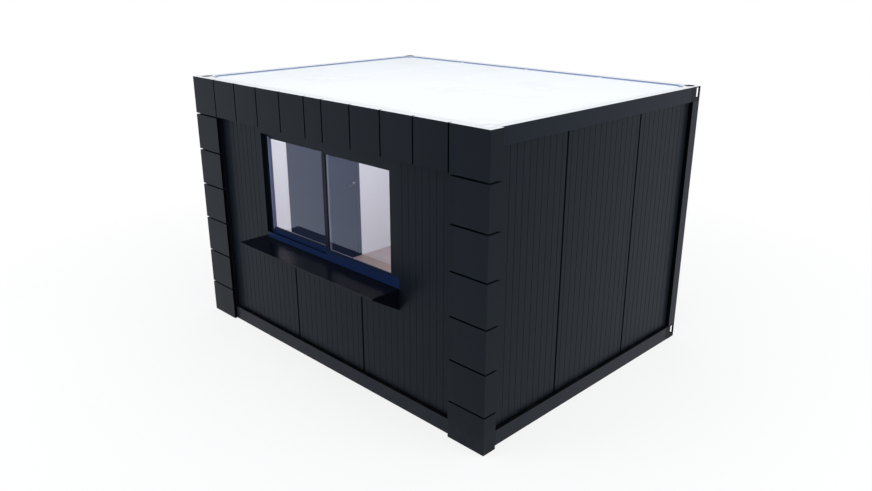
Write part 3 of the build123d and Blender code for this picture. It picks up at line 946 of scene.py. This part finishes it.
def addPlug(bm, place, radius, straight, depth, steps=16):  # a flat plug with round ends along y
    outline = []
    for k in range(2 * steps):
        angle = math.pi * (k + 0.5) / steps
        shift = math.copysign(straight, math.sin(angle))
        outline.append((place.x + radius * math.cos(angle), place.y + radius * math.sin(angle) + shift))
    low, high = ([bm.verts.new((x, y, z)) for x, y in outline] for z in (place.z - depth, place.z))
    joinRings(bm, low, high)
    bm.faces.new(list(reversed(low)))
    bm.faces.new(high)


def halfRound(width, rise, steps=6):  # a bead that lies on a face
    arc = [math.pi * k / steps for k in range(steps + 1)]
    return [(width / 2 * math.cos(a), rise * math.sin(a)) for a in arc]


def flatStrip(width, rise, flat, side=0.4):  # slanted edges, flat over a share of the width
    half = width / 2
    left = [(-half, 0), (-half, rise * side), (-half * flat, rise)]
    return left + [(-s, u) for s, u in reversed(left)]


def corners(low, high):  # the four corners of a rectangle, in turn
    return [(low[0], low[1]), (high[0], low[1]), (high[0], high[1]), (low[0], high[1])]


def makePiece(name, bm, material, body="container", bevel=0.0):
    bmesh.ops.recalc_face_normals(bm, faces=bm.faces)
    mesh = bpy.data.meshes.new(name)
    bm.to_mesh(mesh)
    bm.free()
    mesh.materials.append(material)
    mesh.shade_smooth()
    mesh.set_sharp_from_angle(angle=math.radians(sharpDegrees))
    piece = bpy.data.objects.new(name, mesh)
    bpy.context.collection.objects.link(piece)
    if bevel:
        addBevel(piece, bevel, sharpDegrees)
    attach(piece, body)


# Window: gaskets on both faces of each pane, guide rails and a grip strip, lilac as painted light of the
# lit reveal beside the glass
def paneEdges(sash):
    s = windowSettings
    low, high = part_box(sash)
    sign = 1 if high.x > 0.5 else -1
    outer, inner = (high.x, low.x) if sign > 0 else (-low.x, -high.x)
    near, far = sign * (s["meetingStile"] - abs(inner)), sign * (outer - s["stile"])
    return min(near, far), max(near, far), low.z + s["rail"], high.z - s["rail"]


def makeGaskets():
    s = windowSettings
    outside, inside = bmesh.new(), bmesh.new()
    section = halfRound(s["gasketWidth"], s["gasketRise"])
    inset = s["gasketWidth"] / 2
    for sash in ("window_sash_right", "window_sash_left"):
        left, right, foot, head = paneEdges(sash)
        spots = corners((left + inset, foot + inset), (right - inset, head - inset))
        front, back = (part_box(sash)[0].y + s[side] for side in ("glassFront", "glassBack"))
        addRun(outside, [(x, front, z) for x, z in spots], (0, -1, 0), section)
        addRun(inside, [(x, back, z) for x, z in spots], (0, 1, 0), section)
    makePiece("window_gaskets", outside, rubber)
    makePiece("window_inner_gaskets", inside, paleRubber)


def makeGuideRails():
    s = windowSettings
    bm = bmesh.new()
    face = s["frameFace"] - s["sashLap"]
    foot = windowLow.z + face
    half, rise = s["railWidth"] / 2, s["railHeight"]
    section = [(half, 0), (half, rise * 0.8), (0, rise), (-half, rise * 0.8), (-half, 0)]
    outerTrack, innerTrack = ((low.y + high.y) / 2 for low, high in (outerSash, innerSash))
    for track, start, end in (
        (outerTrack, windowLow.x + face, outerSash[0].x),
        (innerTrack, innerSash[1].x, windowHigh.x - face),
    ):
        addRun(bm, [(start, track, foot), (end, track, foot)], (0, 0, 1), section, closed=False)
    makePiece("window_guide_rails", bm, jointBlack)


def makeGrip():
    s = windowSettings
    bm = bmesh.new()
    low, high = innerSash
    x = paneEdges("window_sash_left")[0]
    lip, rise = s["gripLip"], s["gripRise"]
    depth = s["glassFront"] - 0.0001
    cover = s["gasketRise"] + 0.0005 - depth
    over = s["gasketWidth"] + 0.0008
    grip = [(0, 0), (-lip, 0), (-lip, rise * 0.5), (-lip * 0.7, rise), (-0.001, rise * 0.8)]
    grip += [(0.0012, 0.001), (0.0012, cover), (over, cover), (over, -depth), (0, -depth)]
    ends = (low.z + s["gripInset"], high.z - s["gripInset"])
    addRun(bm, [(x, low.y, z) for z in ends], (0, -1, 0), grip, closed=False)
    makePiece("window_grip", bm, gripPaint)


makeGaskets()
makeGuideRails()
makeGrip()
print("window parts made")


# Covers over the joints between wall panels, and a near-black bead of sealant round each wall that is
# partly painted shade where the wall meets the frame
sealSettings = {
    "jointDepth": 0.014,
    "jointWidth": 0.0078,
    "lipWidth": 0.0225,
    "lipRise": 0.0012,
    "skin": 0.0001,
    "beadWidth": 0.009,
    "beadRise": 0.0035,
    "postWidth": 0.115,
}


def addJoint(bm, foot, head, out, width):
    s = sealSettings
    half, lip, rise, skin = width / 2, s["lipWidth"] / 2, s["lipRise"], s["skin"]
    section = [(-half, -s["jointDepth"]), (half, -s["jointDepth"]), (half, skin), (lip, skin)]
    section += [(lip * 0.85, rise * 0.8), (0, rise), (-lip * 0.85, rise * 0.8), (-lip, skin), (-half, skin)]
    addRun(bm, [foot, head], out, section, closed=False)


def makeJointSeals():
    wide = sealSettings["jointWidth"]
    bm = bmesh.new()
    for side in (-1, 1):
        x = side * frontJoint
        y = middle + side * sideJoint
        addJoint(bm, (x, frontFace, wallFoot), (x, frontFace, windowLow.z), (0, -1, 0), wide)
        addJoint(bm, (x, frontFace, windowHigh.z), (x, frontFace, wallHead), (0, -1, 0), wide)
        addJoint(bm, (x, rearFace, wallFoot), (x, rearFace, wallHead), (0, 1, 0), wide)
        addJoint(bm, (rightFace, y, wallFoot), (rightFace, y, wallHead), (1, 0, 0), wide)
        beside = y + side * wide / 4
        addJoint(bm, (leftFace, beside, wallFoot), (leftFace, beside, doorHigh.z), (-1, 0, 0), wide / 2)
        addJoint(bm, (leftFace, y, doorHigh.z), (leftFace, y, wallHead), (-1, 0, 0), wide)
    makePiece("wall_joint_seals", bm, jointBlack)


def makeSealantAndShade():
    s = sealSettings
    bm = bmesh.new()
    inset = s["beadWidth"] / 4
    # near-black bead: sealant, and painted shade of the line round each wall
    section = halfRound(s["beadWidth"], s["beadRise"])
    low, high = wallFoot + inset, wallHead - inset
    long, short = (half - s["postWidth"] - inset for half in (frameHigh.x, halfDepth))
    for y, out in ((frontFace, -1), (rearFace, 1)):
        spots = corners((-long, low), (long, high))
        addRun(bm, [(x, y, z) for x, z in spots], (0, out, 0), section)
    for x, out in ((leftFace, -1), (rightFace, 1)):
        spots = corners((middle - short, low), (middle + short, high))
        addRun(bm, [(x, y, z) for y, z in spots], (out, 0, 0), section)
    makePiece("wall_sealant_and_shade", bm, jointBlack)


# Weld beads where the castings meet the beams and posts
weldSettings = {
    "width": 0.008,
    "rise": 0.0022,
    "ripple": 0.0035,
    "rings": 3,
    "endGap": 0.004,
    "edgeGap": 0.003,
}


def addWeld(bm, start, end, up):
    s = weldSettings
    start, end, up = Vector(start), Vector(end), Vector(up)
    along = (end - start).normalized()
    side = along.cross(up)
    count = int((end - start).length / s["ripple"] * s["rings"])
    rings = []
    for i in range(count + 1):
        spot = start.lerp(end, i / count)
        wave = 1 + 0.16 * math.sin(2 * math.pi * i / s["rings"] + 0.6) + 0.10 * math.sin(i * 0.37)
        ring = []
        for across, lift in halfRound(s["width"] * (0.9 + 0.1 * wave), s["rise"] * wave, 5):
            lag = 0.8 * s["ripple"] * (1 - (2 * across / s["width"]) ** 2)
            ring.append(bm.verts.new(spot + side * across + up * (lift - 0.0004) + along * lag))
        rings.append(ring)
    for a, b in zip(rings, rings[1:]):
        for k in range(len(a) - 1):
            bm.faces.new((a[k], a[k + 1], b[k + 1], b[k]))


def makeWelds():
    bm = bmesh.new()
    castLow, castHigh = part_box("corner_castings_bottom"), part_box("corner_castings_top")
    size, post = castingSettings["size"], sealSettings["postWidth"]
    end, edge = weldSettings["endGap"], weldSettings["edgeGap"]
    recess = frameHigh.x - rightFace
    top = castLow[1].z
    for sx in (-1, 1):
        for sy in (-1, 1):
            endX, endY = sx * frameHigh.x, middle + sy * halfDepth
            seamX, seamY = endX - sx * size, endY - sy * size
            for low, high in (castLow, castHigh):
                foot, head = low.z + end, high.z - end
                if sy < 0:  # the rear face is ground flush
                    addWeld(bm, (seamX, endY, foot), (seamX, endY, head), (0, sy, 0))
                addWeld(bm, (endX, seamY, foot), (endX, seamY, head), (sx, 0, 0))
            addWeld(bm, (seamX, endY - sy * edge, top), (seamX, endY - sy * recess, top), (0, 0, 1))
            addWeld(bm, (endX - sx * edge, seamY, top), (endX - sx * recess, seamY, top), (0, 0, 1))
            for z in (castLow[1].z, castHigh[0].z):
                if sy < 0:
                    addWeld(bm, (endX - sx * edge, endY, z), (endX - sx * post, endY, z), (0, sy, 0))
                addWeld(bm, (endX, endY - sy * edge, z), (endX, endY - sy * post, z), (sx, 0, 0))
    makePiece("frame_welds", bm, frameSteel)


# Roof: folded laps, a blue-grey strip of painted shade along the beams' inner edges, and a cap in the front
# right eye
roofPartSettings = {
    "lapPlaces": (-0.96, 0.0, 0.96),
    "lapWidth": 0.036,
    "lapRise": 0.0045,
    "shadeStripWidth": 0.028,
    "shadeStripRise": 0.003,
    "shadeStripGap": 0.002,
}


def makeRoofParts():
    s, c = roofPartSettings, castingSettings
    low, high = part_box("roof_sheet")
    top, up = high.z, (0, 0, 1)
    bm = bmesh.new()
    half, rise = s["lapWidth"] / 2, s["lapRise"]
    lap = [(-half, 0), (-half + 0.004, rise), (half - 0.012, rise), (half, 0.001), (half, 0)]
    ends = (low.y + s["shadeStripWidth"], high.y - s["shadeStripWidth"])
    for x in s["lapPlaces"]:
        addRun(bm, [(x, y, top) for y in ends], up, lap, closed=False)
    makePiece("roof_laps", bm, roofWhite)

    # painted shade: a blue-grey strip beside the beams, where their inner edges lie in shade
    bm = bmesh.new()
    shadeStrip = flatStrip(s["shadeStripWidth"], s["shadeStripRise"], 0.8)
    inset, gap = s["shadeStripWidth"] / 2, c["size"] + s["shadeStripGap"]
    cornerX, cornerY = frameHigh.x - gap, halfDepth - gap
    for side in (-1, 1):
        x = side * (high.x - inset)
        y = middle + side * (high.y - middle - inset)
        addRun(bm, [(x, middle - cornerY, top), (x, middle + cornerY, top)], up, shadeStrip, closed=False)
        addRun(bm, [(-cornerX, y, top), (cornerX, y, top)], up, shadeStrip, closed=False)
    makePiece("roof_shade_strip", bm, roofShadeStrip)

    bm = bmesh.new()
    place = Vector((frameHigh.x - c["eyeInset"], frameLow.y + c["eyeInset"], frameHigh.z - 0.0003))
    addPlug(bm, place, c["eyeRadius"] + c["capLap"], c["eyeStraight"], c["capDepth"])
    makePiece("casting_cap", bm, roofWhite)


# Inside: ceiling trim, joint strips and the trim round the window
trimSettings = {
    "cove": 0.018,
    "stripWidth": 0.030,
    "stripRise": 0.0018,
    "windowGap": 0.04,
    "windowTrim": 0.032,
    "windowRise": 0.006,
}


def makeInnerTrim():
    s = trimSettings
    low, high = roomLow, roomHigh
    bm = bmesh.new()
    cove = s["cove"]
    corner = [(0, 0), (0, -cove), (-0.003, -cove), (-0.007, -0.007), (-cove, -0.003), (-cove, 0)]
    around = [(low.x, high.y), (low.x, low.y), (high.x, low.y), (high.x, high.y)]
    addRun(bm, [(x, y, high.z) for x, y in around], (0, 0, 1), corner)
    strip = flatStrip(s["stripWidth"], s["stripRise"], 0.7)
    foot, head = low.z, high.z - cove
    under, over = windowLow.z - s["windowGap"], windowHigh.z + s["windowGap"]
    for side in (-1, 1):
        x, y = side * frontJoint, middle + side * sideJoint
        for start, end in ((foot, under), (over, head)):
            addRun(bm, [(x, low.y, start), (x, low.y, end)], (0, 1, 0), strip, closed=False)
        addRun(bm, [(x, high.y, foot), (x, high.y, head)], (0, -1, 0), strip, closed=False)
        addRun(bm, [(high.x, y, foot), (high.x, y, head)], (-1, 0, 0), strip, closed=False)
    wide = s["windowTrim"] / 2
    strip = flatStrip(s["windowTrim"], s["windowRise"], 0.8125, 0.5)
    reach = windowHigh.x + wide
    spots = corners((-reach, windowLow.z - wide), (reach, windowHigh.z + wide))
    addRun(bm, [(x, low.y, z) for x, z in spots], (0, 1, 0), strip)
    makePiece("inner_trim", bm, trimWhite)


# Fastenings: hexagon bolts under the counter, screws in the hinges
boltSettings = {
    "steps": (-2.5, -1.5, -0.5, 0.5, 1.5, 2.5),
    "pitch": 0.30,
    "endInset": 0.05,
    "drop": 0.036,
    "flange": 0.003,
    "head": 0.0065,
    "height": 0.0053,
    "washer": 0.0085,
}


def addBolt(bm, place, axis):
    s = boltSettings
    head, height, washer = s["head"], s["height"], s["washer"]
    disc = [(washer, 0), (washer, 0.0012), (washer - 0.0006, 0.0018), (head, 0.0018)]
    addTurned(bm, disc, place, axis, 24)
    base = Vector(place) + Vector(axis) * 0.0016
    addTurned(bm, [(head * 1.12, 0), (head * 1.12, height * 0.86), (head * 0.92, height)], base, axis, 6)


def addScrew(bm, place, axis, radius):
    cap = ((1, 0), (0.92, 0.18), (0.6, 0.34), (0.34, 0.36), (0.30, 0.1))
    addTurned(bm, [(radius * out, radius * up) for out, up in cap], place, axis, 16)


def makeBolts():
    s = boltSettings
    bm = bmesh.new()
    end = shelfHigh.x - s["endInset"]
    for x in [step * s["pitch"] for step in s["steps"]] + [-end, end]:
        addBolt(bm, (x, frontFace - s["flange"], shelfHigh.z - s["drop"]), (0, -1, 0))
    makePiece("counter_bolts", bm, zinc)


# Door: stop seal, threshold plate, lock and the hinge screws
doorSettings = {
    "stopGap": 0.005,
    "edgeInset": 0.004,
    "headInset": 0.0015,
    "sillRise": 0.018,
    "sealWidth": 0.0075,
    "sealRise": 0.0038,
    "plateInset": (0.006, 0.004),
    "plateRise": 0.0012,
    "ribs": 5,
    "ribRise": 0.0008,
    "lockDrop": 0.082,
    "lockRadius": 0.024,
    "lockRise": 0.0068,
    "keyRadius": 0.0086,
    "keyRise": 0.0095,
    "pinRadius": 0.009,
    "hingeLevels": (0.420, 1.150, 1.880),
    "leafScrews": (0.004, (0.028, 0.052), (0.063, 0.087)),
    "frameScrews": (0.008, (-0.018, -0.032), (0.013, 0.037)),
    "screwRadius": 0.0042,
}


def makeDoorEdges():
    s = doorSettings
    edge = leafHigh.y - middle - s["edgeInset"]
    sill, head = doorLow.z + s["sillRise"], leafHigh.z - s["headInset"]
    stop = leafHigh.x + s["stopGap"]
    bm = bmesh.new()
    path = [(stop, middle + y, z) for y, z in ((-edge, sill), (-edge, head), (edge, head), (edge, sill))]
    addRun(bm, path, (-1, 0, 0), halfRound(s["sealWidth"], s["sealRise"]), closed=False)
    makePiece("door_seal", bm, rubber)

    bm = bmesh.new()
    outer, inner = leafLow.x + s["plateInset"][0], doorHigh.x - s["plateInset"][1]
    top, rise = sill + s["plateRise"], s["ribRise"]
    addBlock(bm, (outer, middle - edge, sill), (inner, middle + edge, top))
    pitch = (inner - outer) / (s["ribs"] + 1)
    rib = [(-0.002, 0), (-0.001, rise), (0.001, rise), (0.002, 0)]
    for k in range(1, s["ribs"] + 1):
        x = outer + k * pitch
        addRun(bm, [(x, middle - edge, top), (x, middle + edge, top)], (0, 0, 1), rib, closed=False)
    makePiece("threshold_plate", bm, darkMetal, bevel=0.0004)


def addKeyBlock(bm, place, way, depths, wide, levels):  # a block that stands out from the leaf
    near, far = sorted(place.x + way * depth for depth in depths)
    addBlock(bm, (near, place.y - wide, place.z + levels[0]), (far, place.y + wide, place.z + levels[1]))


def makeLock():
    s = doorSettings
    low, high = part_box("door_handle")
    y, z = high.y - handleSettings["roseInset"], (low.z + high.z) / 2 - s["lockDrop"]
    radius, key, rise = s["lockRadius"], s["keyRadius"], s["keyRise"]
    rose = [(radius, 0), (radius, 0.004), (radius - 0.0015, 0.006), (radius - 0.004, s["lockRise"])]
    barrel = [(key, 0.006), (key, rise - 0.0006), (key - 0.0006, rise)]
    lock, keys = bmesh.new(), bmesh.new()
    for face, way in ((leafLow.x, -1), (leafHigh.x, 1)):
        place = Vector((face, y, z))
        addTurned(lock, rose, place, (way, 0, 0), 40)
        addTurned(lock, barrel, place, (way, 0, 0), 32)
        addKeyBlock(lock, place, way, (0.006, rise - 0.0003), 0.005, (-0.022, -0.004))
        addKeyBlock(keys, place, way, (rise - 0.002, rise + 0.0002), 0.0008, (-0.005, 0.005))
        addKeyBlock(keys, place, way, (rise - 0.002, rise + 0.00015), 0.0028, (-0.0008, 0.0008))
    makePiece("door_lock", lock, darkMetal, "door", bevel=0.0004)
    makePiece("door_keyholes", keys, rubber, "door")


def hingeScrews(plate, outs, ups):
    s = doorSettings
    bm = bmesh.new()
    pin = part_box("door_frame_hinges")[1].y - s["pinRadius"]
    for level in s["hingeLevels"]:
        for y, z in ((pin + out, level + up) for up in ups for out in outs):
            addScrew(bm, (leafLow.x - plate, y, z), (-1, 0, 0), s["screwRadius"])
    return bm


def makeHingeScrews():
    s = doorSettings
    makePiece("leaf_hinge_screws", hingeScrews(*s["leafScrews"]), darkMetal, "door")
    makePiece("frame_hinge_screws", hingeScrews(*s["frameScrews"]), darkMetal)


makeJointSeals()
makeSealantAndShade()
makeWelds()
makeRoofParts()
makeInnerTrim()
makeBolts()
makeDoorEdges()
makeLock()
makeHingeScrews()
print("seals, welds, trim and door parts made")
